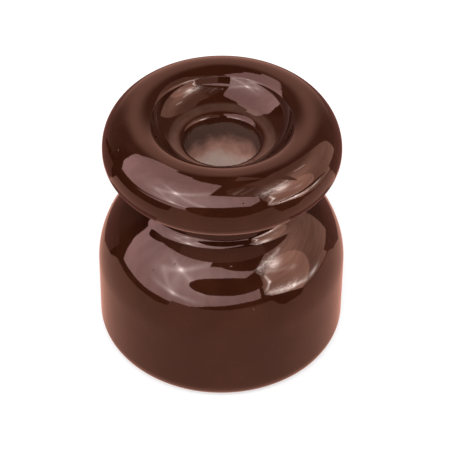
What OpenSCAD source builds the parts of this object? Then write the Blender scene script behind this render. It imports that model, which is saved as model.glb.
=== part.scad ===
// Ceramic knob insulator for open wiring, one glazed turned piece.
// Millimetres. The origin is the centre of the flat foot, +Z runs up the screw bore.

/* [Body] */
// Diameter of the straight lower wall
body_d = 20; // [18:0.5:22]
// Height at which the straight wall turns into the shoulder
wall_h = 7; // [5:0.5:8]
// Radius of the wide rounded shoulder above the wall
shoulder_r = 8.1; // [7:0.1:8.8]
// Radius of the rounded edge round the foot
foot_r = 1.8; // [0.6:0.2:3]

/* [Head] */
// Largest diameter of the head
head_d = 18.9; // [17.5:0.1:20.5]
// Height of the head's widest line
head_z = 18.5; // [17.5:0.1:21]
// Radius of the head's outer side
rim_r = 3.5; // [3:0.1:3.9]
// Radius of the rounding under the head
under_r = 1.7; // [1.2:0.1:2.2]
// Angle on the outer side at which the lower rounding starts
under_a = -5; // [-15:1:0]
// Radius of the crown where the head turns over into the dish
crown_r = 2.05; // [1.6:0.05:2.5]
// Angle on the outer side at which the crown starts
crown_a = 48; // [40:1:60]
// Radius of the tighter rounding where the crown drops into the dish
brow_r = 0.4; // [0.3:0.1:0.8]
// Slope down the crown at which that rounding starts
brow_a = 38; // [30:1:44]

/* [Neck] */
// Smallest diameter of the neck, at the bottom of the wire groove
neck_d = 12.4; // [11:0.2:13.4]

/* [Dish and bore] */
// Radius of the hollow dish in the top of the head
dish_r = 2.8; // [2.4:0.1:4]
// Diameter of the screw bore
bore_d = 5.9; // [4.6:0.1:6.4]
// Radius of the rounded lip where the dish turns into the bore
lip_r = 0.6; // [0.4:0.1:1.1]
// Height above the head's widest line at which the lip turns into the straight bore wall
lip_up = 0.2; // [-0.3:0.1:0.5]
// Radius of the small rounding at the lower end of the bore
mouth_r = 0.4; // [0.2:0.1:0.8]

/* [Hidden] */
$fn = 96;

body_r = body_d / 2;
neck_r = neck_d / 2;
bore_r = bore_d / 2;
lip_z = head_z + lip_up;

// Point at distance r from c, at angle a from the outward direction
function polar(c, r, a) = c + r * [cos(a), sin(a)];

// Centre of the circle of radius r + ra round a and r + rb round b, on the left of the way from a to b
function touching(a, ra, b, rb, r) =
    let(
        gap = norm(b - a),
        way = (b - a) / gap,
        along = (gap * gap + (r + ra) * (r + ra) - (r + rb) * (r + rb)) / (2 * gap),
        off = sqrt((r + ra) * (r + ra) - along * along)
    )
    a + along * way + off * [-way.y, way.x];

// Centres of the arcs, from the shoulder up over the head and down to the bore
shoulder_c = [body_r - shoulder_r, wall_h];
foot_c = [body_r - foot_r, foot_r];
rim_c = [head_d / 2 - rim_r, head_z];
under_c = polar(rim_c, rim_r - under_r, under_a);
crown_c = polar(rim_c, rim_r - crown_r, crown_a);
brow_c = polar(crown_c, crown_r - brow_r, 90 + brow_a);
lip_c = [bore_r + lip_r, lip_z];
mouth_c = [bore_r + mouth_r, mouth_r];
dish_c = touching(lip_c, lip_r, brow_c, brow_r, dish_r);

// The wire groove is one arc that touches the shoulder, the neck line and the head's underside
low = shoulder_r - neck_r + shoulder_c.x;
high = under_r - neck_r + under_c.x;
low_sum = shoulder_r + neck_r - shoulder_c.x;
high_sum = under_r + neck_r - under_c.x;
rise = under_c.y - shoulder_c.y;
spare = rise * rise - low * (low_sum - high_sum);
drop = spare / (rise + sqrt(rise * rise + (low / high - 1) * spare));
groove_r = (drop * drop / high - high_sum) / 2;
groove_c = [neck_r + groove_r, under_c.y - drop];

module disc(c, r) {
    translate(c)
        circle(r = r);
}

// Part of a disc between two angles
module sector(c, r, a0, a1) {
    intersection() {
        disc(c, r);
        polygon([c, polar(c, 2 * r, a0), polar(c, 2 * r, (a0 + a1) / 2), polar(c, 2 * r, a1)]);
    }
}

module body_half() {
    square([foot_c.x, foot_r]);
    translate([0, foot_r])
        square([body_r, wall_h - foot_r]);
    sector(foot_c, foot_r, -90, 0);
    sector(shoulder_c, shoulder_r, 0, 90);
    translate([0, wall_h])
        square([shoulder_c.x, shoulder_r]);
}

// The core's corners lie on the arcs' centres, or inside the head under its outer side and crown
module head_half() {
    polygon([
        [0, wall_h], shoulder_c, groove_c, under_c,
        polar(rim_c, rim_r / 2, (under_a + crown_a) / 2), polar(crown_c, crown_r / 2, 90),
        brow_c, dish_c, lip_c, [0, lip_z]
    ]);
    sector(rim_c, rim_r, under_a, crown_a);
    disc(under_c, under_r);
    sector(crown_c, crown_r, 0, 90 + brow_a);
    disc(brow_c, brow_r);
    disc(lip_c, lip_r);
}

// Rounded lower end of the bore
module mouth_cut() {
    difference() {
        square([mouth_c.x, mouth_r]);
        disc(mouth_c, mouth_r);
    }
}

module half_section() {
    difference() {
        union() {
            body_half();
            head_half();
        }
        disc(groove_c, groove_r);
        disc(dish_c, dish_r);
        mouth_cut();
        square([bore_r, head_z + rim_r]);
    }
}

module insulator() {
    color("saddlebrown")
        rotate_extrude()
            half_section();
}

insulator();
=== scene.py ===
import math

import bmesh
import bpy
from mathutils import Matrix, Vector


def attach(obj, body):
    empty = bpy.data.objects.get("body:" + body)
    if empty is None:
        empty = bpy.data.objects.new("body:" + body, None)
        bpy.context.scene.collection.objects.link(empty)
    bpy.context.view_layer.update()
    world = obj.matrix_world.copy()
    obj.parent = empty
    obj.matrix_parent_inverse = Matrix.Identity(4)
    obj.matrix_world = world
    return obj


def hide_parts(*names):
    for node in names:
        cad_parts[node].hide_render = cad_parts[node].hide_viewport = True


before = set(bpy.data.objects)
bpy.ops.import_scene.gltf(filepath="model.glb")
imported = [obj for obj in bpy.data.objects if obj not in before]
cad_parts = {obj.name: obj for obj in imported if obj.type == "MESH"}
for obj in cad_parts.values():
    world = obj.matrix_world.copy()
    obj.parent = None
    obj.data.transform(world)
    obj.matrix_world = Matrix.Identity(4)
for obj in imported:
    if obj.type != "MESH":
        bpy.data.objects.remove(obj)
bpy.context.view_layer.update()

MM = 0.001
TURN = 2 * math.pi

# ---------------------------------------------------------------- sizes, in millimetres, as in part.scad
BODY_R = 10.0
WALL_H = 7.0
SHOULDER_R = 8.1
FOOT_R = 1.8
HEAD_R = 9.45
HEAD_Z = 18.5
RIM_R = 3.5
UNDER_R = 1.7
UNDER_A = -5
CROWN_R = 2.05
CROWN_A = 48
BROW_R = 0.4
BROW_A = 38
NECK_R = 6.2
DISH_R = 2.8
BORE_R = 2.95
LIP_R = 0.6
LIP_Z = 18.7
MOUTH_R = 0.4


# ---------------------------------------------------------------- the turned profile
def polar(centre, radius, degrees):
    a = math.radians(degrees)
    return Vector((centre[0] + radius * math.cos(a), centre[1] + radius * math.sin(a)))


def bearing(centre, point):
    return math.degrees(math.atan2(point[1] - centre[1], point[0] - centre[0]))


def touching(a, ra, b, rb, r):
    """Centre of the circle of radius r that touches two discs, on the left of the way from a to b."""
    gap = (b - a).length
    way = (b - a) / gap
    along = (gap * gap + (r + ra) ** 2 - (r + rb) ** 2) / (2 * gap)
    off = math.sqrt((r + ra) ** 2 - along * along)
    return a + along * way + off * Vector((-way.y, way.x))


def arc(centre, radius, start, end, step):
    n = max(3, round(abs(end - start) / step))
    return [polar(centre, radius, start + (end - start) * i / n) for i in range(n + 1)]


def straight(a, b, n):
    return [Vector(a).lerp(Vector(b), i / n) for i in range(n + 1)]


def knob_profile():
    """The outline of the knob's half section, once round: foot, wall, groove, head, dish, bore."""
    foot_c = Vector((BODY_R - FOOT_R, FOOT_R))
    shoulder_c = Vector((BODY_R - SHOULDER_R, WALL_H))
    rim_c = Vector((HEAD_R - RIM_R, HEAD_Z))
    under_c = polar(rim_c, RIM_R - UNDER_R, UNDER_A)
    crown_c = polar(rim_c, RIM_R - CROWN_R, CROWN_A)
    brow_c = polar(crown_c, CROWN_R - BROW_R, 90 + BROW_A)
    lip_c = Vector((BORE_R + LIP_R, LIP_Z))
    mouth_c = Vector((BORE_R + MOUTH_R, MOUTH_R))
    dish_c = touching(lip_c, LIP_R, brow_c, BROW_R, DISH_R)

    low = SHOULDER_R - NECK_R + shoulder_c.x
    high = UNDER_R - NECK_R + under_c.x
    low_sum = SHOULDER_R + NECK_R - shoulder_c.x
    high_sum = UNDER_R + NECK_R - under_c.x
    rise = under_c.y - shoulder_c.y
    spare = rise * rise - low * (low_sum - high_sum)
    drop = spare / (rise + math.sqrt(rise * rise + (low / high - 1) * spare))
    groove_r = (drop * drop / high - high_sum) / 2
    groove_c = Vector((NECK_R + groove_r, under_c.y - drop))

    groove_low = bearing(shoulder_c, groove_c)
    groove_high = bearing(groove_c, under_c)
    brow_end = bearing(brow_c, dish_c)
    lip_start = bearing(lip_c, dish_c)
    runs = [
        straight((mouth_c.x, 0), (foot_c.x, 0), 8),
        arc(foot_c, FOOT_R, -90, 0, 2.5),
        straight((BODY_R, FOOT_R), (BODY_R, WALL_H), 8),
        arc(shoulder_c, SHOULDER_R, 0, groove_low, 1.25),
        arc(groove_c, groove_r, 180 + groove_low, groove_high, 3),
        arc(under_c, UNDER_R, groove_high - 180, UNDER_A, 2.5),
        arc(rim_c, RIM_R, UNDER_A, CROWN_A, 1.5),
        arc(crown_c, CROWN_R, CROWN_A, 90 + BROW_A, 2),
        arc(brow_c, BROW_R, 90 + BROW_A, brow_end, 5),
        arc(dish_c, DISH_R, brow_end - 180, lip_start - 180, 1.5),
        arc(lip_c, LIP_R, lip_start, 180, 3),
        straight((BORE_R, LIP_Z), (BORE_R, MOUTH_R), 18),
        arc(mouth_c, MOUTH_R, 180, 270, 15),
    ]
    points = []
    for run in runs:
        for p in run:
            if not points or (p - points[-1]).length > 1e-5:
                points.append(p)
    return points


# ---------------------------------------------------------------- node helpers
class Nodes:
    """Short words for building a node tree."""

    def __init__(self, tree):
        self.tree = tree
        self.count = 0

    def add(self, kind, inputs=None, **settings):
        node = self.tree.nodes.new(kind)
        node.location = (180 * (self.count % 12), -220 * (self.count // 12))
        self.count += 1
        for name, value in settings.items():
            setattr(node, name, value)
        for key, value in (inputs or {}).items():
            socket = node.inputs[key]
            if isinstance(value, bpy.types.NodeSocket):
                self.tree.links.new(value, socket)
            else:
                socket.default_value = value
        return node

    def math(self, operation, a, b=None, c=None, clamp=False):
        given = {i: v for i, v in enumerate((a, b, c)) if v is not None}
        return self.add("ShaderNodeMath", given, operation=operation, use_clamp=clamp).outputs[0]

    def product(self, *values):
        result = values[0]
        for value in values[1:]:
            result = self.math("MULTIPLY", result, value)
        return result

    def vector(self, operation, a, b=None, out=0):
        given = {i: v for i, v in enumerate((a, b)) if v is not None}
        return self.add("ShaderNodeVectorMath", given, operation=operation).outputs[out]

    def step(self, value, low, high):
        """0 below low, 1 above high, smooth between them; low may be the larger."""
        node = self.add("ShaderNodeMapRange", {"Value": value, "From Min": low, "From Max": high},
                        interpolation_type="SMOOTHSTEP")
        return node.outputs["Result"]

    def mix(self, factor, a, b):
        """a where the factor is 0, b where it is 1, for plain numbers."""
        return self.add("ShaderNodeMix", {0: factor, 2: a, 3: b}, data_type="FLOAT").outputs[0]

    def colour(self, factor, a, b):
        """The same for colours."""
        node = self.add("ShaderNodeMix", data_type="RGBA", clamp_factor=True)
        for socket, value in ((node.inputs[0], factor), (node.inputs[6], a), (node.inputs[7], b)):
            if isinstance(value, bpy.types.NodeSocket):
                self.tree.links.new(value, socket)
            else:
                socket.default_value = value
        return node.outputs[2]


def new_material(name):
    material = bpy.data.materials.new(name)
    material.use_nodes = True
    material.node_tree.nodes.clear()
    return material, Nodes(material.node_tree)


# ---------------------------------------------------------------- glaze and bare ceramic
GLAZE = (0.0325, 0.0084, 0.0038, 1)
GLAZE_THIN = (0.060, 0.016, 0.006, 1)
GLAZE_POOL = (0.024, 0.0058, 0.0027, 1)
# Painted sheen: the lighter glaze colour of a ring in the dish, standing in for reflected light
GLAZE_PAINTED_SHEEN = (0.078, 0.038, 0.027, 1)
BISCUIT = (0.48, 0.25, 0.195, 1)
# Painted light: clay colour made paler deeper in the bore
BISCUIT_PAINTED_LIT = (0.72, 0.56, 0.49, 1)
SPECK = (0.25, 0.19, 0.15, 1)
# A darker band just under the glaze's edge in the bore
BORE_DARK_BAND = (0.048, 0.028, 0.020, 1)
GLAZE_ROUGH = 0.045
CLAY_ROUGH = 0.78
GLAZE_IOR = 1.46

# Millimetres: where the glaze stops in the bore and at the foot, and where the ring of painted sheen lies
EDGE_DROP = 1.15
EDGE_RAGGED = 0.9
EDGE_WANDER = 1.1
FOOT_BARE = 0.02
FOOT_RAGGED = 0.25
SHEEN_RING_IN = 0.6
SHEEN_RING_OUT = 1.2
SHEEN_RING_SOFT = 0.15

# Millimetres below the glaze's edge in the bore: a darker band, then clay painted paler as painted light
DARK_BAND_FULL = 0.9
DARK_BAND_END = 3.1
LIT_CLAY_START = 2.4
LIT_CLAY_FULL = 4.3

# Pinholes in the glaze: cells in a millimetre, radii in cell widths, share of the cells without one
PIN_CELLS = 1.15
PIN_R = 0.11
PIN_FLOOR_R = 0.03
PIN_RARE = 0.80


def glazed_ceramic():
    material, n = new_material("glaze")
    place = n.add("ShaderNodeTexCoord").outputs["Object"]
    mm = n.vector("SCALE", place)
    mm.node.inputs["Scale"].default_value = 1 / MM
    x, y, z = n.add("ShaderNodeSeparateXYZ", {0: mm}).outputs[:3]
    out = n.math("SQRT", n.math("ADD", n.math("MULTIPLY", x, x), n.math("MULTIPLY", y, y)))

    def noise(scale, detail=2.0, rough=0.5):
        return n.add("ShaderNodeTexNoise", {"Vector": mm, "Scale": scale, "Detail": detail,
                                            "Roughness": rough}).outputs["Fac"]

    def relief(height, strength, rise, under=None, sunk=False):
        inputs = {"Height": height, "Strength": strength, "Distance": rise * MM}
        if under is not None:
            inputs["Normal"] = under
        return n.add("ShaderNodeBump", inputs, invert=sunk).outputs[0]

    # The glaze stops raggedly just inside the bore, and just short of the foot's flat
    ragged = noise(1.6, 3.0, 0.6)
    wander = noise(0.45, 1.0)
    edge = n.math("ADD", n.math("MULTIPLY", ragged, EDGE_RAGGED), n.math("MULTIPLY", wander, EDGE_WANDER))
    bore_edge = n.math("ADD", edge, LIP_Z - EDGE_DROP)
    depth = n.math("SUBTRACT", bore_edge, z)
    in_bore = n.step(out, BORE_R + 0.22, BORE_R + 0.12)
    bare_bore = n.product(in_bore, n.step(depth, -0.05, 0.05))
    foot_edge = n.math("ADD", n.math("MULTIPLY", ragged, FOOT_RAGGED), FOOT_BARE)
    bare_foot = n.step(n.math("SUBTRACT", foot_edge, z), -0.02, 0.02)
    bare = n.math("MAXIMUM", bare_bore, bare_foot)

    # Glaze colour: slow mottling, a thin redder film along its edges
    body = n.colour(n.step(noise(0.35, 3.0, 0.55), 0.35, 0.75), GLAZE_POOL, GLAZE)
    near_edge = n.product(n.step(depth, -0.5, 0.0), in_bore)
    thin = n.math("MAXIMUM", near_edge, n.step(z, 0.55, 0.2))
    glaze = n.colour(n.math("MULTIPLY", thin, 0.5), body, GLAZE_THIN)

    # Painted sheen: a lighter, greyer ring of glaze colour low in the dish, round the bore, standing in for a
    # reflection there
    ring = n.product(n.step(out, BORE_R + SHEEN_RING_IN - SHEEN_RING_SOFT, BORE_R + SHEEN_RING_IN + SHEEN_RING_SOFT),
                     n.step(out, BORE_R + SHEEN_RING_OUT + SHEEN_RING_SOFT, BORE_R + SHEEN_RING_OUT - SHEEN_RING_SOFT),
                     n.step(z, HEAD_Z - 0.6, HEAD_Z))
    painted_sheen = n.product(ring, n.math("MULTIPLY_ADD", noise(0.9, 2.0), 0.9, 0.15))
    glaze = n.colour(painted_sheen, glaze, GLAZE_PAINTED_SHEEN)

    # Bare ceramic: fine grain, a darker band under the glaze's edge in the bore, and below it clay painted
    # paler as painted light
    grain = noise(12.0, 4.0, 0.65)
    uneven = n.math("ADD", depth, n.math("SUBTRACT", noise(0.8), 0.5))
    # Painted light: the clay is painted paler deeper in the bore
    clay = n.colour(n.step(uneven, LIT_CLAY_START, LIT_CLAY_FULL), BISCUIT, BISCUIT_PAINTED_LIT)
    clay = n.colour(n.math("MULTIPLY", n.step(grain, 0.45, 0.7), 0.22), clay, SPECK)
    # Darker just under the glaze's edge in the bore
    dark_band = n.product(n.step(uneven, DARK_BAND_END, DARK_BAND_FULL), in_bore)
    clay = n.colour(n.math("MULTIPLY", dark_band, 0.95), clay, BORE_DARK_BAND)

    # Relief: slow ripples of the dipped glaze, orange peel, pinholes, grain and the glaze's own thickness
    cells = n.add("ShaderNodeTexVoronoi", {"Vector": mm, "Scale": PIN_CELLS, "Randomness": 1.0}).outputs
    chance = n.add("ShaderNodeSeparateColor", {0: cells["Color"]}).outputs[0]
    hollow = n.step(cells["Distance"], PIN_R, PIN_FLOOR_R)
    pinhole = n.product(hollow, n.step(chance, PIN_RARE, PIN_RARE + 0.02))
    normal = relief(noise(0.5, 1.0), 0.06, 0.2)
    normal = relief(noise(3.0, 1.0), 0.02, 0.04, normal)
    normal = relief(pinhole, 0.7, 0.05, normal, sunk=True)
    normal = relief(n.product(grain, bare), 0.5, 0.1, normal)
    normal = relief(bare, 0.6, 0.12, normal, sunk=True)

    shader = n.add("ShaderNodeBsdfPrincipled", {
        "Base Color": n.colour(bare, glaze, clay), "Roughness": n.mix(bare, GLAZE_ROUGH, CLAY_ROUGH),
        "IOR": GLAZE_IOR, "Normal": normal})
    n.add("ShaderNodeOutputMaterial", {"Surface": shader.outputs[0]})
    return material


# ---------------------------------------------------------------- the knob, turned by Geometry Nodes
TURNING_INPUTS = (
    ("Steps round", "NodeSocketInt"), ("Ripple depth", "NodeSocketFloat"), ("Ripple length", "NodeSocketFloat"),
    ("Blisters per square metre", "NodeSocketFloat"), ("Blister size", "NodeSocketFloat"),
    ("Seed", "NodeSocketInt"), ("Finish", "NodeSocketMaterial"))
BLISTER_SMALLEST = 0.45
BLISTER_FLATNESS = 0.35


def turning_tree(rows):
    """Turns a string of profile points about Z, and sits a few small glaze blisters on the skin."""
    tree = bpy.data.node_groups.new("turned ceramic", "GeometryNodeTree")
    face = tree.interface
    face.new_socket("Geometry", in_out="INPUT", socket_type="NodeSocketGeometry")
    for name, kind in TURNING_INPUTS:
        face.new_socket(name, in_out="INPUT", socket_type=kind)
    face.new_socket("Geometry", in_out="OUTPUT", socket_type="NodeSocketGeometry")
    n = Nodes(tree)
    given = n.add("NodeGroupInput").outputs

    columns = n.math("ADD", given["Steps round"], 1)
    sheet = n.add("GeometryNodeMeshGrid", {"Vertices X": columns, "Vertices Y": rows,
                                           "Size X": 1.0, "Size Y": 1.0}).outputs["Mesh"]
    index = n.add("GeometryNodeInputIndex").outputs[0]
    row = n.math("MODULO", index, rows)
    column = n.math("FLOOR", n.math("DIVIDE", index, rows))
    sample = n.add("GeometryNodeSampleIndex", data_type="FLOAT_VECTOR", domain="POINT")
    tree.links.new(given["Geometry"], sample.inputs["Geometry"])
    value = next(s for s in sample.inputs if s.name == "Value" and s.type == "VECTOR")
    tree.links.new(n.add("GeometryNodeInputPosition").outputs[0], value)
    tree.links.new(row, sample.inputs["Index"])
    found = next(s for s in sample.outputs if s.type == "VECTOR")
    r, _, z = n.add("ShaderNodeSeparateXYZ", {0: found}).outputs[:3]
    angle = n.math("MULTIPLY", column, n.math("DIVIDE", TURN, given["Steps round"]))
    across = n.math("MULTIPLY", r, n.math("COSINE", angle))
    along = n.math("MULTIPLY", r, n.math("SINE", angle))
    turned = n.add("ShaderNodeCombineXYZ", {0: across, 1: along, 2: z}).outputs[0]
    skin = n.add("GeometryNodeSetPosition", {"Geometry": sheet, "Position": turned}).outputs[0]
    skin = n.add("GeometryNodeMergeByDistance", {"Geometry": skin, "Distance": 1e-6}).outputs[0]

    # Slow ripples press the skin in a little, never out
    wave = n.add("ShaderNodeTexNoise", {"Scale": n.math("DIVIDE", 1.0, given["Ripple length"]), "Detail": 0.0})
    push = n.math("MULTIPLY", n.math("MULTIPLY", wave.outputs["Fac"], given["Ripple depth"]), -1)
    offset = n.vector("SCALE", n.add("GeometryNodeInputNormal").outputs[0])
    tree.links.new(push, offset.node.inputs["Scale"])
    skin = n.add("GeometryNodeSetPosition", {"Geometry": skin, "Offset": offset}).outputs[0]
    skin = n.add("GeometryNodeSetShadeSmooth", {"Geometry": skin}).outputs[0]

    # Small blisters in the glaze
    scatter = n.add("GeometryNodeDistributePointsOnFaces",
                    {"Mesh": skin, "Density": given["Blisters per square metre"], "Seed": given["Seed"]})
    bead = n.add("GeometryNodeMeshIcoSphere", {"Radius": given["Blister size"], "Subdivisions": 2}).outputs[0]
    bead = n.add("GeometryNodeSetShadeSmooth", {"Geometry": bead}).outputs[0]
    size = n.add("FunctionNodeRandomValue", {"Seed": given["Seed"]}, data_type="FLOAT")
    size.inputs[2].default_value = BLISTER_SMALLEST
    size.inputs[3].default_value = 1.0
    width = size.outputs[1]
    height = n.math("MULTIPLY", width, BLISTER_FLATNESS)
    spread = n.add("ShaderNodeCombineXYZ", {0: width, 1: width, 2: height}).outputs[0]
    beads = n.add("GeometryNodeInstanceOnPoints",
                  {"Points": scatter.outputs["Points"], "Instance": bead,
                   "Rotation": scatter.outputs["Rotation"], "Scale": spread}).outputs[0]
    joined = n.add("GeometryNodeJoinGeometry")
    tree.links.new(beads, joined.inputs[0])
    tree.links.new(skin, joined.inputs[0])
    real = n.add("GeometryNodeRealizeInstances", {0: joined.outputs[0]}).outputs[0]
    done = n.add("GeometryNodeSetMaterial", {"Geometry": real, "Material": given["Finish"]}).outputs[0]
    n.add("NodeGroupOutput", {0: done})
    return tree


def set_input(modifier, tree, name, value):
    item = next(i for i in tree.interface.items_tree if i.name == name and i.in_out == "INPUT")
    modifier[item.identifier] = value


def turn_knob(finish):
    points = knob_profile()
    mesh = bpy.data.meshes.new("knob profile")
    edges = [(i, i + 1) for i in range(len(points) - 1)]
    mesh.from_pydata([(p.x * MM, 0, p.y * MM) for p in points], edges, [])
    maker = bpy.data.objects.new("knob profile", mesh)
    bpy.context.scene.collection.objects.link(maker)
    tree = turning_tree(len(points))
    modifier = maker.modifiers.new("turn", "NODES")
    modifier.node_group = tree
    for name, value in (("Steps round", 280), ("Ripple depth", 0.03 * MM), ("Ripple length", 4.0 * MM),
                        ("Blisters per square metre", 30000.0), ("Blister size", 0.07 * MM), ("Seed", 7),
                        ("Finish", finish)):
        set_input(modifier, tree, name, value)
    graph = bpy.context.evaluated_depsgraph_get()
    graph.update()
    skin = bpy.data.meshes.new_from_object(maker.evaluated_get(graph))
    maker.modifiers.clear()
    bpy.data.objects.remove(maker)
    face_out(skin)
    knob = bpy.data.objects.new("knob_glazed", skin)
    bpy.context.scene.collection.objects.link(knob)
    return knob


def face_out(mesh):
    bm = bmesh.new()
    bm.from_mesh(mesh)
    bmesh.ops.recalc_face_normals(bm, faces=bm.faces)
    bm.to_mesh(mesh)
    bm.free()
    for polygon in mesh.polygons:
        polygon.use_smooth = True


# ---------------------------------------------------------------- studio helpers
CENTRE = Vector((0, 0, 15 * MM))
PANEL_STEPS = 48
PANEL_ROWS = 24


def glow_material(name, colour):
    material, n = new_material(name)
    material.cycles.emission_sampling = "NONE"
    light = n.add("ShaderNodeEmission", {"Color": (*colour, 1), "Strength": 1.0})
    n.add("ShaderNodeOutputMaterial", {"Surface": light.outputs[0]})
    return material


def reflection_only(piece):
    """Seen in the glaze, but not by the camera, and neither lighting nor shading the object."""
    piece.visible_camera = False
    piece.visible_diffuse = False
    piece.visible_transmission = False
    piece.visible_volume_scatter = False
    piece.visible_shadow = False


def aim(azimuth, elevation):
    """Direction with azimuth 0 towards the front and growing to the right."""
    a, e = math.radians(azimuth), math.radians(elevation)
    return Vector((math.sin(a) * math.cos(e), -math.cos(a) * math.cos(e), math.sin(e)))


def bent(points, at):
    """Value at one place of a line drawn through (place, value) points."""
    for (x0, y0), (x1, y1) in zip(points, points[1:]):
        if at <= x1:
            t = max(0.0, (at - x0) / (x1 - x0))
            return y0 + (y1 - y0) * t
    return points[-1][1]


def studio_piece(name, bm, material, reflected_only=True):
    mesh = bpy.data.meshes.new(name)
    bm.to_mesh(mesh)
    bm.free()
    mesh.materials.append(material)
    piece = bpy.data.objects.new(name, mesh)
    bpy.context.scene.collection.objects.link(piece)
    if reflected_only:
        reflection_only(piece)
    return piece


def patch(name, columns, distance, material):
    """A curved panel round the object: columns of (azimuth, low elevation, high elevation)."""
    bm = bmesh.new()
    grid = []
    lows = [(azimuth, low) for azimuth, low, high in columns]
    highs = [(azimuth, high) for azimuth, low, high in columns]
    start, end = columns[0][0], columns[-1][0]
    between = {start + (end - start) * i / PANEL_STEPS for i in range(PANEL_STEPS + 1)}
    for azimuth in sorted(between | {azimuth for azimuth, low in lows}):
        low, high = bent(lows, azimuth), bent(highs, azimuth)
        heights = [low + (high - low) * i / PANEL_ROWS for i in range(PANEL_ROWS + 1)]
        grid.append([bm.verts.new(CENTRE + aim(azimuth, e) * distance(azimuth, e)) for e in heights])
    for left, right in zip(grid, grid[1:]):
        for i in range(PANEL_ROWS):
            bm.faces.new((left[i], right[i], right[i + 1], left[i + 1]))
    return studio_piece(name, bm, material)


def flat_ring(name, azimuths, inner, outer, height, material):
    """A flat sheet round the object's axis, in millimetres; outer gives its reach at an azimuth."""
    bm = bmesh.new()
    pairs = []
    up = Vector((0, 0, height * MM))
    for azimuth in azimuths:
        way = aim(azimuth, 0) * MM
        pairs.append((bm.verts.new(way * inner + up), bm.verts.new(way * outer(azimuth) + up)))
    for (a, b), (c, d) in zip(pairs, pairs[1:]):
        bm.faces.new((a, c, d, b))
    return studio_piece(name, bm, material)


def upright(name, outline, depth, material):
    """A flat standing card: its outline as (across, height) in millimetres."""
    bm = bmesh.new()
    bm.faces.new([bm.verts.new(Vector((x, depth, z)) * MM) for x, z in outline])
    return studio_piece(name, bm, material)


class Sky(Nodes):
    """A panel's own light, drawn by azimuth and elevation seen from the object."""

    def __init__(self, tree):
        super().__init__(tree)
        degrees = 180 / math.pi
        place = self.add("ShaderNodeTexCoord").outputs["Object"]
        way = self.vector("NORMALIZE", self.vector("SUBTRACT", place, CENTRE))
        x, y, z = self.add("ShaderNodeSeparateXYZ", {0: way}).outputs[:3]
        turn = self.math("ARCTAN2", x, self.math("MULTIPLY", y, -1))
        self.azimuth = self.math("MULTIPLY", turn, degrees)
        self.aside = self.math("ABSOLUTE", self.azimuth)
        self.elevation = self.math("MULTIPLY", self.math("ARCSINE", z), degrees)
        self.point = self.add("ShaderNodeCombineXYZ", {0: self.azimuth, 1: self.elevation}).outputs[0]

    def bell(self, distance, width):
        """1 at no distance, falling softly to nothing past the width."""
        ratio = self.math("DIVIDE", distance, width)
        return self.math("POWER", math.e, self.math("MULTIPLY", self.math("MULTIPLY", ratio, ratio), -1))

    def spot(self, azimuth, elevation, wide, tall, gain, turn=0.0):
        """A soft round light."""
        away = self.vector("SUBTRACT", self.point, (azimuth, elevation, 0))
        if turn:
            away = self.add("ShaderNodeVectorRotate", {"Vector": away, "Angle": math.radians(-turn)},
                            rotation_type="Z_AXIS").outputs[0]
        scaled = self.vector("DIVIDE", away, (wide, tall, 1))
        return self.math("MULTIPLY", self.bell(self.vector("LENGTH", scaled, out="Value"), 1.0), gain)

    def fold(self, start, end, widths, gains):
        """A soft bright line from one place to another."""
        a, b = Vector((*start, 0)), Vector((*end, 0))
        run = b - a
        away = self.vector("SUBTRACT", self.point, a)
        share = self.vector("DOT_PRODUCT", away, run / run.length_squared, out="Value")
        along = self.math("ADD", share, 0, clamp=True)
        back = self.vector("SCALE", run)
        self.tree.links.new(along, back.node.inputs["Scale"])
        off = self.vector("LENGTH", self.vector("SUBTRACT", away, back), out="Value")
        width = self.math("MULTIPLY_ADD", along, widths[1] - widths[0], widths[0])
        gain = self.math("MULTIPLY_ADD", along, gains[1] - gains[0], gains[0])
        return self.math("MULTIPLY", self.bell(off, width), gain)

    def total(self, values):
        result = values[0]
        for value in values[1:]:
            result = self.math("ADD", result, value)
        return result

    def weave(self, scales, low, high):
        """Uneven cloth: noise stretched by its scales across and up."""
        stretched = self.vector("MULTIPLY", self.point, (*scales, 1))
        noise = self.add("ShaderNodeTexNoise", {"Vector": stretched, "Scale": 1.0, "Detail": 2.0})
        return self.step(noise.outputs["Fac"], low, high)

    def lit(self, colour, strength):
        light = self.vector("SCALE", colour)
        self.tree.links.new(strength, light.node.inputs["Scale"])
        return light

    def shine(self, colour, strength, white=None):
        """Ends the tree: coloured light, and near-white light added to it."""
        light = self.lit(colour, strength)
        if white is not None:
            light = self.vector("ADD", light, self.lit(FOLD_WHITE, white))
        glow = self.add("ShaderNodeEmission", {"Color": light, "Strength": 1.0})
        self.add("ShaderNodeOutputMaterial", {"Surface": glow.outputs[0]})


def sky_material(name):
    material, _ = new_material(name)
    material.cycles.emission_sampling = "NONE"
    return material, Sky(material.node_tree)


# ---------------------------------------------------------------- the painted reflections on each panel, glowing in the glaze and lighting nothing
# Colours of painted reflections: panels, sheets and cards that glow only in the glaze
FOLD_WHITE = (1, 0.86, 0.80)
LEFT_CLOTH_REFLECTION = (3.9, 2.15, 2.05)
RIGHT_CLOTH_REFLECTION = (3.1, 1.55, 1.15)
TABLE_LIGHT = (1.0, 0.48, 0.37)
BROWN_REFLECTION = (1.0, 0.50, 0.39)
GROOVE_REFLECTION = (0.62, 0.29, 0.22)
DIM_REFLECTION = (0.28, 0.11, 0.09)
BLACK = (0, 0, 0)

# Degrees (azimuth, elevation)
STAR = (-41.5, 27.5)
LOW_STAR = (-43, 4.0)
WARM_DISC = (62, 9)
WARM_DISC_R = (25, 22)


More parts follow.
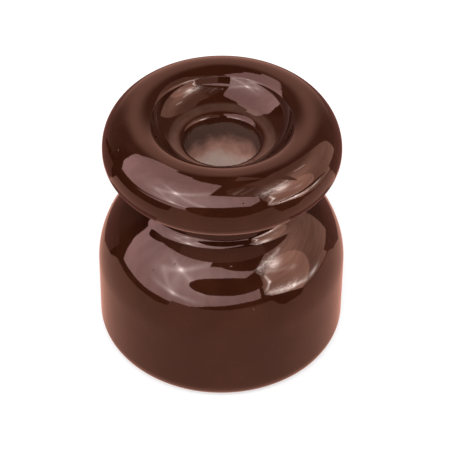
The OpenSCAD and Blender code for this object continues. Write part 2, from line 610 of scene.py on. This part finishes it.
def left_diffuser_reflection():
    """Painted reflection of tent cloth lit from behind, with the two stars of its folds; it glows in the glaze
    and lights nothing.
    """
    material, k = sky_material("left diffuser reflection")
    shade = k.total([k.math("ADD", k.spot(-50, 25, 45, 26, 0.25), 0.9), k.spot(-100, 25, 14, 28, 0.3)])
    cloth = k.math("MULTIPLY_ADD", k.weave((0.16, 0.05), 0.3, 0.7), 0.16, 0.92)
    folds = k.total([
        k.spot(*STAR, 5.0, 3.2, 3.0),
        k.spot(-38, 22, 32, 19, 1.5),
        k.spot(0, 24, 30, 18, 0.9),
        k.fold(STAR, (-13, 43), (2.4, 4.0), (4.2, 1.5)),
        k.fold(STAR, (-63, 37), (1.8, 3.0), (3.6, 0.2)),
        k.fold(STAR, (-62, 17), (2.0, 4.5), (3.8, 0.6)),
        k.fold(STAR, (-17, 13), (2.2, 3.5), (3.2, 2.0)),
        k.spot(-16, 13, 3.0, 2.4, 1.8),
        k.fold(LOW_STAR, (-68, 7.5), (1.3, 3.2), (4.0, 0.0)),
        k.fold(LOW_STAR, (-16, 1.0), (1.3, 3.0), (4.0, 0.4)),
        k.spot(-43, 4.1, 5.0, 1.8, 2.2),
        k.fold(STAR, LOW_STAR, (3.0, 3.5), (1.4, 1.4)),
        k.fold((-58, 20), LOW_STAR, (3.0, 2.5), (1.8, 2.2)),
    ])
    k.shine(LEFT_CLOTH_REFLECTION, k.product(shade, cloth), folds)
    return material


def right_diffuser_reflection():
    """Painted reflection of a warm disc of light with crumpled foil beside it."""
    material, k = sky_material("right diffuser reflection")
    from_disc = k.vector("DIVIDE", k.vector("SUBTRACT", k.point, (*WARM_DISC, 0)), (*WARM_DISC_R, 1))
    disc = k.step(k.vector("LENGTH", from_disc, out="Value"), 1.03, 0.97)
    ground = k.math("MULTIPLY_ADD", k.step(k.elevation, 52, 34), 0.22, 0.33)
    warm = k.total([ground, k.math("MULTIPLY", disc, 0.72), k.spot(76, 30, 26, 14, 0.75)])
    streak = k.math("MULTIPLY_ADD", k.weave((0.05, 0.35), 0.35, 0.7), 0.25, 0.85)
    left_fade = k.math("MULTIPLY_ADD", k.step(k.azimuth, 30, 48), 0.6, 0.4)
    warm = k.product(warm, streak, left_fade)

    # Painted glints of the foil: bright ridges and dark creases of one twisted noise, where the foil hangs
    twisted = k.vector("ADD", k.vector("MULTIPLY", k.point, (0.11, 0.30, 1)), (3.1, 0.4, 0))
    crumple = k.add("ShaderNodeTexNoise", {"Vector": twisted, "Scale": 1.0, "Detail": 4.0,
                                           "Distortion": 2.6}).outputs["Fac"]
    ridge = k.bell(k.math("SUBTRACT", crumple, 0.5), 0.04)
    crease = k.bell(k.math("SUBTRACT", crumple, 0.42), 0.02)
    where = k.total([k.spot(50, 31, 14, 7.5, 1.0, turn=8), k.spot(54, 0, 18, 4.0, 0.9, turn=-12)])
    foil = k.total([
        k.math("MULTIPLY", k.product(ridge, where), 13.0),
        k.spot(57, 28, 6.0, 4.0, 13.0),
        k.fold((40, 32), (72, 36), (1.4, 1.8), (5.0, 4.0)),
        k.fold((44, 26), (72, 12), (1.3, 1.8), (2.0, 0.8)),
        k.spot(70, 13, 3.5, 2.0, 1.5),
        k.fold((43.0, 21), (45.0, 14), (1.1, 1.3), (9.0, 10.0)),
        k.fold((45.0, 14), (40.5, 7), (1.3, 1.1), (10.0, 7.0)),
        k.fold((44, 2), (64, -3), (1.6, 2.2), (7.0, 12.0)),
        k.fold((64, -3), (77, -8), (1.5, 1.5), (9.0, 5.0)),
        k.spot(86, -8, 6.0, 1.6, 7.0),
        k.fold((84, 42), (93, 37), (1.1, 1.1), (6.0, 6.0)),
        k.fold((12, 44), (27, 54), (1.6, 2.6), (1.8, 0.5)),
        k.fold((20, 41), (36, 49), (1.2, 2.0), (1.0, 0.6)),
    ])
    foil = k.product(foil, k.math("MULTIPLY_ADD", k.product(crease, where), -0.85, 1.0))
    k.shine(RIGHT_CLOTH_REFLECTION, warm, foil)
    return material


def room_reflection():
    """Painted reflection of the room: dark in front, dim at the sides, a warm wall behind."""
    material, k = sky_material("room reflection")
    low = k.step(k.elevation, 72, 50)
    wall = k.math("MULTIPLY", k.product(k.step(k.aside, 138, 176), low), 1.25)
    sides = k.math("MULTIPLY", k.product(k.step(k.aside, 108, 122), low), 0.2)
    k.shine(TABLE_LIGHT, k.total([wall, sides]))
    return material


def table_reflection():
    """Painted reflection of warm light off the table, a little brighter at the sides, dimmer and whiter behind.
    """
    material, k = sky_material("table reflection")
    side = k.step(k.aside, 20, 100)
    behind = k.step(k.aside, 130, 170)
    strength = k.math("ADD", k.math("MULTIPLY_ADD", side, 0.12, 0.86), k.math("MULTIPLY", behind, -0.38))
    k.shine(TABLE_LIGHT, strength, k.math("MULTIPLY", behind, 0.10))
    return material


PAPER = (0.92, 0.92, 0.92, 1)
PAPER_SHADED = (0.52, 0.52, 0.52, 1)
PAPER_LIFT = 0.56


def floor_paper():
    """White paper: it shows white to the camera and keeps the object's shadow."""
    paper, n = new_material("white paper")
    seen = n.add("ShaderNodeLightPath").outputs["Is Camera Ray"]
    plain = n.add("ShaderNodeBsdfPrincipled", {"Base Color": PAPER, "Roughness": 0.9})
    shaded = n.add("ShaderNodeBsdfPrincipled", {"Base Color": PAPER_SHADED, "Roughness": 0.9})
    lift = n.add("ShaderNodeEmission", {"Color": (1, 1, 1, 1), "Strength": PAPER_LIFT})
    both = n.add("ShaderNodeAddShader", {0: shaded.outputs[0], 1: lift.outputs[0]})
    surface = n.add("ShaderNodeMixShader", {0: seen, 1: plain.outputs[0], 2: both.outputs[0]})
    n.add("ShaderNodeOutputMaterial", {"Surface": surface.outputs[0]})
    return paper


# ---------------------------------------------------------------- the studio's pieces: the lamps, and the painted reflections seen only in the glaze
# Panels: (azimuth, low elevation, high elevation) in degrees, seen from CENTRE
LEFT_PANEL = (
    (-152, 59, 66), (-135, 57, 69), (-122, 53, 75), (-113, 44, 78), (-106, 36, 78), (-101.5, 26, 78),
    (-100, 8, 78), (-99, -6, 78), (-80, -6, 78), (-60, -6, 78), (-40, -6, 78), (-26, -4.5, 76), (-12, -2.5, 74))
LEFT_STRIP = (
    (-12, -2.5, 40), (0, -1.5, 39.5), (10, -1.2, 38), (18.6, -1.2, 35.5), (26, -1.5, 32.5), (33, -1.5, 29))
LEFT_CORNER = ((-12, 40, 74), (-8, 50, 73), (-4.5, 60, 71), (-2, 68, 69))
RIGHT_PANEL = (
    (5, 42, 54), (18, 38, 61), (30, 33, 64), (35, 25, 66), (38, 2, 67), (44, -1, 68), (52, -3, 68),
    (60, -6, 68), (72, -12, 68), (88, -16, 68), (105, -16, 68), (114, -16, 64), (121, -16, 58))

# The left panel's distance in metres by azimuth: near for its upper part, far for its lower edge
NEAR_LEFT = ((-103, 0.085), (-50, 0.085), (-12, 0.066), (32, 0.0645))
FAR_LEFT = ((-103, 0.4), (-40, 0.4), (-12, 0.1), (32, 0.0645))
FAR_BELOW = -5
NEAR_ABOVE = 14
RIGHT_DISTANCE = 0.11
ROOM_DISTANCE = 0.5

# Flat sheets round the axis, painted reflections seen only in the glaze: (azimuth in degrees, outer radius in
# millimetres)
TABLE_REACH = (
    (-180, 60), (-160, 38), (-140, 26), (-120, 24), (-106, 34), (-100, 52), (-52, 52), (-44, 60),
    (-42, 170), (43, 170), (46, 60), (50, 45), (66, 45), (72, 58), (105, 58), (112, 34), (122, 24),
    (140, 26), (160, 38), (180, 60))
# The dark visor's edge: a black sheet seen only in the glaze, painted shade where the head's own shade darkens
# the shoulder's reflection
VISOR_EDGE = (
    (-88, 12.0), (-80, 16.6), (-77.6, 16.5), (-68.3, 14.9), (-58.7, 13.3), (-48.1, 11.9), (-36.5, 11.4),
    (-26.6, 10.9), (-21.9, 11.1), (-14.5, 11.95), (-7.3, 13.1), (-1.8, 14.1), (3.2, 15.2), (9.2, 16.1),
    (16.1, 16.8), (24.7, 17.9), (30, 18.0), (34, 16.3), (38, 14.6), (42, 13.3), (48, 12.3),
    (57, 12.4), (62, 9.8))
# The groove shades: painted shade and a painted brown reflection in the groove under the head
SHADE_EDGE = ((-130, 9.3), (-82, 9.4), (-72, 10.3), (70, 10.3), (80, 9.4))

# Their other sizes and heights, in millimetres
DARK_TABLE_HOLE_R = 8.6
DARK_TABLE_R = 62
DARK_TABLE_Z = 0.03
FAR_TABLE_HOLE_R = 8.65
FAR_TABLE_R = 130
FAR_TABLE_Z = 0.04
TABLE_HOLE_R = 8.7
TABLE_Z = 0.05
VISOR_HOLE_R = 9.5
VISOR_Z = 19.75
SHADE_HOLE_R = 7.9
SHADE_Z = 16.45

# Standing cards, painted dark and brown reflections seen only in the glaze: outlines as (across, height) and
# their places in front of the axis, millimetres
DISC_CENTRE = (2.5, 18.95)
DISC_R = (15.1, 4.35)
CARD_FIN = ((9.5, 22.6), (13.5, 20), (17.4, 17.5), (17.6, 24), (15.1, 26.8))
CARD_TAB = ((-1.9, 21.75), (1.2, 21.75), (1.2, 26.4), (-1.9, 26.8))
BROWN_CARD = ((1.2, 21.75), (8.5, 21.75), (8.0, 25.4), (4.0, 26.2), (1.2, 26.4))
CARD_Y = -25.0
TAB_Y = -7.2

# Lamps: name, place and size in metres, watts
LAMPS = (("key_left", (-0.28, -0.22, 0.30), 0.22, 0.8),
         ("front_high", (0.0, -0.26, 0.36), 0.12, 0.9),
         ("fill_right", (0.30, -0.12, 0.26), 0.22, 0.5))
LAMP_AIM = Vector((0, 0, 10 * MM))
WORLD_LIGHT = 0.55
WORLD_WHITE = 1.0


def left_distance(azimuth, elevation):
    far = bent(FAR_LEFT, azimuth)
    near = bent(NEAR_LEFT, azimuth)
    return bent([(-90, far), (FAR_BELOW, far), (NEAR_ABOVE, near), (90, near)], elevation)


def panels():
    all_round = [(a, -89, 90) for a in range(-180, 181, 6)]
    room = patch("room_reflection", all_round, lambda a, e: ROOM_DISTANCE, room_reflection())
    cloth = left_diffuser_reflection()
    left = patch("left_diffuser_reflection", LEFT_PANEL, left_distance, cloth)
    strip = patch("left_diffuser_strip", LEFT_STRIP, left_distance, cloth)
    corner = patch("left_diffuser_corner", LEFT_CORNER, left_distance, cloth)
    right = patch("right_diffuser_reflection", RIGHT_PANEL, lambda a, e: RIGHT_DISTANCE, right_diffuser_reflection())
    return [room, left, strip, corner, right]


def sheets(black):
    dim = glow_material("painted dim reflection", DIM_REFLECTION)
    groove = glow_material("painted groove reflection", GROOVE_REFLECTION)

    def edge(points):
        return lambda azimuth: bent(points, azimuth)

    all_round = range(-180, 181, 2)
    return [
        # Painted dark reflection of the table beyond its warm part, and a dim one behind
        flat_ring("dark_table", range(-180, 181, 6), DARK_TABLE_HOLE_R,
                  lambda a: DARK_TABLE_R, DARK_TABLE_Z, black),
        flat_ring("table_far_side", range(106, 256, 5), FAR_TABLE_HOLE_R,
                  lambda a: FAR_TABLE_R, FAR_TABLE_Z, dim),
        flat_ring("table_reflection", all_round, TABLE_HOLE_R, edge(TABLE_REACH), TABLE_Z, table_reflection()),
        # Painted shade: the head's shade over the shoulder, as a black sheet
        flat_ring("dark_visor", range(-88, 63, 2), VISOR_HOLE_R, edge(VISOR_EDGE), VISOR_Z, black),
        # Painted shade at the sides of the groove and a painted brown reflection in front
        flat_ring("groove_shade_left", range(-130, -35, 2), SHADE_HOLE_R, edge(SHADE_EDGE), SHADE_Z, dim),
        flat_ring("groove_shade_front", range(-36, 39, 2), SHADE_HOLE_R, edge(SHADE_EDGE), SHADE_Z, groove),
        flat_ring("groove_shade_right", range(38, 81, 2), SHADE_HOLE_R, edge(SHADE_EDGE), SHADE_Z, dim),
    ]


def cards(black):
    turns = [TURN * i / 48 for i in range(48)]
    disc = [(DISC_CENTRE[0] + DISC_R[0] * math.cos(t), DISC_CENTRE[1] + DISC_R[1] * math.sin(t)) for t in turns]
    # Painted dark and brown reflections: standing cards seen only in the glaze
    return [upright("dark_card", disc, CARD_Y, black),
            upright("dark_card_fin", CARD_FIN, CARD_Y, black),
            upright("dark_tab", CARD_TAB, TAB_Y, black),
            upright("brown_card", BROWN_CARD, TAB_Y, glow_material("painted brown reflection", BROWN_REFLECTION))]


def white_world():
    world = bpy.data.worlds.new("studio")
    bpy.context.scene.world = world
    world.use_nodes = True
    world.node_tree.nodes.clear()
    n = Nodes(world.node_tree)
    ray = n.add("ShaderNodeLightPath").outputs
    through = n.math("MAXIMUM", ray["Is Glossy Ray"], ray["Is Transmission Ray"])
    seen = n.math("MAXIMUM", ray["Is Camera Ray"], through)
    strength = n.mix(seen, WORLD_LIGHT, WORLD_WHITE)
    sky = n.add("ShaderNodeBackground", {"Color": (1, 1, 1, 1), "Strength": strength})
    n.add("ShaderNodeOutputWorld", {"Surface": sky.outputs[0]})


def lamps():
    for name, place, size, power in LAMPS:
        lamp = bpy.data.lights.new(name, "AREA")
        lamp.shape = "SQUARE"
        lamp.size = size
        lamp.energy = power
        stand = bpy.data.objects.new(name, lamp)
        stand.location = place
        stand.rotation_euler = (LAMP_AIM - Vector(place)).to_track_quat("-Z", "Y").to_euler()
        stand.visible_glossy = False
        bpy.context.scene.collection.objects.link(stand)


def studio():
    bm = bmesh.new()
    bmesh.ops.create_grid(bm, x_segments=1, y_segments=1, size=3.0)
    floor = studio_piece("floor", bm, floor_paper(), reflected_only=False)
    floor.visible_glossy = False
    # Black glow for the painted dark reflections
    black = glow_material("painted black reflection", BLACK)
    panels()
    sheets(black)
    cards(black)
    white_world()
    lamps()


# ---------------------------------------------------------------- camera
CAMERA_ELEVATION = 42.0
CAMERA_DISTANCE = 185.0
LOOK_AT_Z = 9.0
PIXELS_PER_MM = 12.308
ROLL = 0.379
PICTURE = 450
AXIS_AT = (221.456, 236.262)
SENSOR = 36


def camera():
    e = math.radians(CAMERA_ELEVATION)
    data = bpy.data.cameras.new("camera")
    data.sensor_width = SENSOR
    data.lens = PIXELS_PER_MM * CAMERA_DISTANCE * SENSOR / PICTURE
    data.shift_x = (PICTURE / 2 - AXIS_AT[0]) / PICTURE
    data.shift_y = (AXIS_AT[1] - PICTURE / 2) / PICTURE
    data.clip_start = 0.005
    data.clip_end = 20
    right = Vector((1, 0, 0))
    up = Vector((0, math.sin(e), math.cos(e)))
    back = Vector((0, -math.cos(e), math.sin(e)))
    roll = Matrix.Rotation(math.radians(ROLL), 3, back)
    right, up = roll @ right, roll @ up
    eye = Vector((0, 0, LOOK_AT_Z)) * MM + back * CAMERA_DISTANCE * MM
    basis = Matrix((right, up, back)).transposed().to_4x4()
    stand = bpy.data.objects.new("camera", data)
    stand.matrix_world = Matrix.Translation(eye) @ basis
    bpy.context.scene.collection.objects.link(stand)
    bpy.context.scene.camera = stand


knob = turn_knob(glazed_ceramic())
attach(knob, "root")
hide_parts("insulator")
studio()
camera()
bpy.context.scene.view_settings.view_transform = "Standard"
